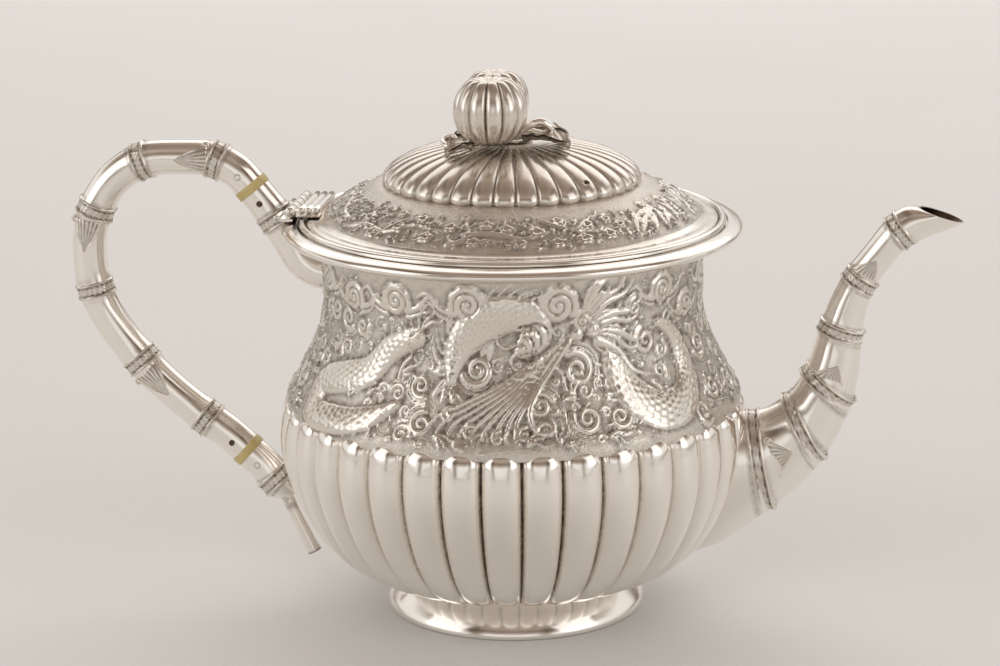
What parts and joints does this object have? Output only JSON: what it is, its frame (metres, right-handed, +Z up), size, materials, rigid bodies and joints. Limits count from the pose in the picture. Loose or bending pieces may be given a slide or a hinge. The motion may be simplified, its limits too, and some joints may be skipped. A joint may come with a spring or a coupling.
{
  "type": "silver teapot",
  "caption": "Silver teapot with a gadrooned bowl, chased waisted neck, bamboo-form handle and spout, and a hinged domed lid with a melon finial.",
  "frame": {"origin": "centre of the body's axis at the level of the table, under the foot ring", "axes": "+Z up, +X towards the spout, -X towards the handle; the lid's hinge lies along Y above the rim on the handle's side"},
  "size_m": [0.2597, 0.1362, 0.1578],
  "materials": {
    "polished_silver": "hand-polished sterling silver, mirror bright with fine wiping scratches",
    "chased_silver": "chased and matted sterling silver, oxidised grey in the hollows",
    "ivory": "aged cream-yellow ivory or bone, softly polished"
  },
  "bodies": {
    "pot": {"body_bowl": "polished_silver", "body_neck": "chased_silver", "foot_ring": "polished_silver", "rim_flange": "polished_silver", "spout_tube": "polished_silver", "spout_node_ring_1": "chased_silver", "spout_node_ring_2": "chased_silver", "spout_node_ring_3": "chased_silver", "spout_node_ring_4": "chased_silver", "spout_node_ring_5": "chased_silver", "spout_node_ring_6": "chased_silver", "spout_leaf_1": "chased_silver", "spout_leaf_2": "chased_silver", "spout_leaf_3": "chased_silver", "handle_upper_socket": "polished_silver", "insulator_upper": "ivory", "handle_grip": "polished_silver", "insulator_lower": "ivory", "handle_lower_socket": "polished_silver", "handle_twig": "polished_silver", "handle_node_ring_1": "chased_silver", "handle_node_ring_2": "chased_silver", "handle_node_ring_3": "chased_silver", "handle_node_ring_4": "chased_silver", "handle_node_ring_5": "chased_silver", "handle_node_ring_6": "chased_silver", "handle_node_ring_7": "chased_silver", "handle_node_ring_8": "chased_silver", "handle_leaf_1": "chased_silver", "handle_leaf_2": "chased_silver", "handle_leaf_3": "chased_silver", "insulator_pin_1": "polished_silver", "insulator_pin_2": "polished_silver", "insulator_pin_3": "polished_silver", "insulator_pin_4": "polished_silver", "hinge_body_leaf": "polished_silver", "hinge_pin": "polished_silver"},
    "lid": {"lid_cover": "chased_silver", "lid_edge_bead": "polished_silver", "lid_dome": "polished_silver", "lid_bezel": "polished_silver", "hinge_lid_leaf": "polished_silver", "finial_boss": "polished_silver", "finial_melon_front": "polished_silver", "finial_melon_back": "polished_silver", "finial_leaf": "polished_silver", "finial_vine": "polished_silver", "finial_stud": "polished_silver", "finial_washer": "polished_silver", "finial_nut": "polished_silver"}
  },
  "joints": [
    {"name": "lid_hinge", "type": "hinge", "parent": "pot", "child": "lid", "pos_m": [-0.0626, 0, 0.1176], "axis": [0, -1, 0], "range_deg": [0, 105]}
  ]
}
